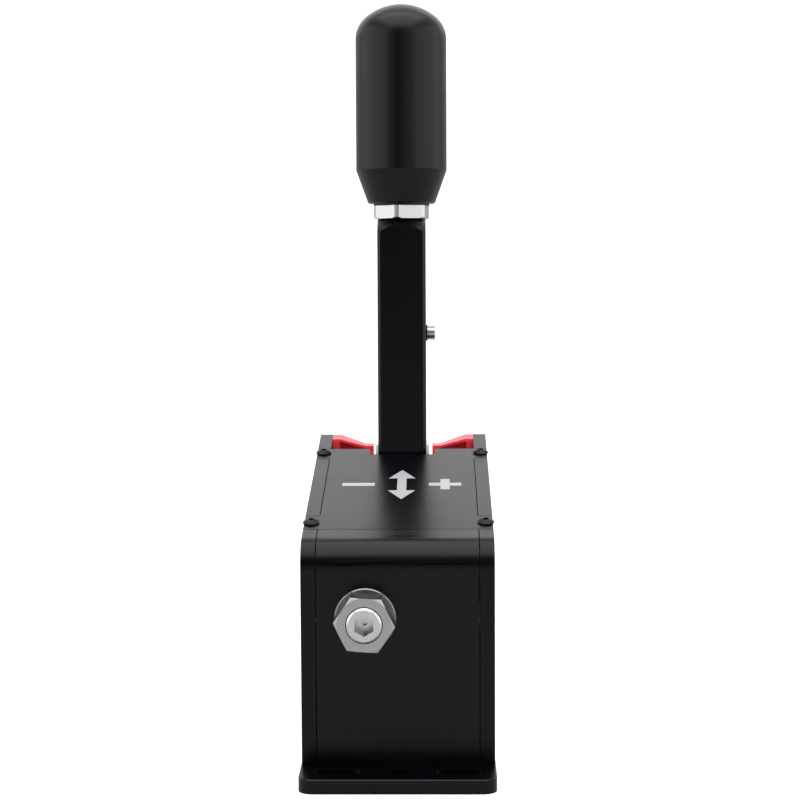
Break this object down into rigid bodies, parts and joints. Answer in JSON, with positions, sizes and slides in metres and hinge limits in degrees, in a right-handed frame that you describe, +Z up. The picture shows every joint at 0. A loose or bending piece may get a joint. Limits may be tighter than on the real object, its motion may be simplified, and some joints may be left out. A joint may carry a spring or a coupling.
{
  "type": "sim racing gear shifter",
  "caption": "Sequential gear shifter for a sim racing rig: a sloped plate housing on a slotted base, a sprung upright lever with a tall round knob, and a preload adjuster in front.",
  "frame": {"origin": "centre of the base plate's underside", "axes": "+X to the right seen from the front panel with the adjuster, +Y from the front panel towards the lever, +Z up"},
  "size_m": [0.0668, 0.1728, 0.2742],
  "materials": {
    "black_anodised": "matte black anodised, fine bead-blasted grain",
    "knob_black": "matte black anodised, turned",
    "red_anodised": "satin red anodised",
    "black_oxide_steel": "black oxide, satin",
    "turned_steel": "turned, satin",
    "bright_steel": "polished",
    "ground_steel": "ground",
    "spring_steel": "drawn wire",
    "plain_aluminium": "as machined",
    "bronze": "as machined",
    "white_pad": "matte",
    "bumper_rubber": "matte",
    "circuit_board": "solder mask",
    "chip_black": "matte",
    "magnet": "nickel plated"
  },
  "bodies": {
    "housing": {"base_plate": "black_anodised", "left_side_plate": "black_anodised", "right_side_plate": "black_anodised", "front_panel": "black_anodised", "rear_panel": "black_anodised", "top_plate": "black_anodised", "left_slot_guide": "red_anodised", "right_slot_guide": "red_anodised", "top_plate_screws": "black_oxide_steel", "base_screws": "black_oxide_steel", "panel_screws": "black_oxide_steel", "slot_guide_screws": "black_oxide_steel", "rod_guide_screws": "black_oxide_steel", "pivot_end_screws": "black_oxide_steel", "stop_block_screws": "black_oxide_steel", "preload_washer": "turned_steel", "preload_lock_nut": "turned_steel", "rod_guide_block": "plain_aluminium", "rod_guide_bushing": "bronze", "pivot_shaft": "ground_steel", "pivot_spacers": "ground_steel", "bearing_inner_rings": "ground_steel", "stop_block": "plain_aluminium", "stop_bumpers": "bumper_rubber", "sensor_board": "circuit_board", "board_standoffs": "ground_steel", "board_screws": "ground_steel", "hall_sensor": "chip_black", "board_components": "chip_black", "usb_socket": "ground_steel", "rear_spring": "spring_steel"},
    "lever": {"lever_core": "plain_aluminium", "bearing_outer_rings": "ground_steel", "bearing_balls": "ground_steel", "bearing_shields": "ground_steel", "hall_magnet": "magnet", "drive_pin": "ground_steel", "drive_pin_clip": "ground_steel", "height_lock_screw": "bright_steel", "height_lock_washer": "black_oxide_steel"},
    "roller": {"drive_roller": "ground_steel"},
    "upper_lever": {"lever_tube": "black_anodised", "slide_pads": "white_pad", "knob_stud": "ground_steel", "knob_nut": "bright_steel", "knob_collar": "black_oxide_steel", "knob": "knob_black", "knob_insert": "bronze"},
    "rod": {"centring_rod": "ground_steel", "rod_collar": "plain_aluminium", "rod_collar_clips": "ground_steel", "rod_yoke": "plain_aluminium", "yoke_jam_nut": "ground_steel"},
    "cup": {"spring_cup": "plain_aluminium", "front_spring": "spring_steel"},
    "adjuster": {"preload_screw": "turned_steel"}
  },
  "joints": [
    {"name": "lever_tilt", "type": "hinge", "parent": "housing", "child": "lever", "pos_m": [0, 0.0477, 0.028], "axis": [1, 0, 0], "range_deg": [-3.5, 3.5], "stiffness_Nm_per_rad": 60},
    {"name": "roller_spin", "type": "hinge", "parent": "lever", "child": "roller", "pos_m": [-0.011, 0.04857, 0.05549], "axis": [1, 0, 0], "continuous": true},
    {"name": "lever_height", "type": "slide", "parent": "lever", "child": "upper_lever", "axis": [0, 0.0318, 0.9995], "range_m": [0, 0.018]},
    {"name": "rod_slide", "type": "slide", "parent": "housing", "child": "rod", "axis": [0, 1, 0], "range_m": [-0.0018, 0.0018], "deforming": ["front_spring", "rear_spring"]},
    {"name": "preload_travel", "type": "slide", "parent": "housing", "child": "cup", "axis": [0, 1, 0], "range_m": [-0.00175, 0.0035]},
    {"name": "adjuster_turn", "type": "hinge", "parent": "cup", "child": "adjuster", "pos_m": [-0.011, -0.067, 0.0555], "axis": [0, 1, 0], "range_deg": [-361, 721]}
  ],
  "couplings": [
    {"joint": "rod_slide", "follows": "lever_tilt", "m_per_rad": -0.0275},
    {"joint": "adjuster_turn", "follows": "preload_travel", "rad_per_m": 3590.4}
  ]
}
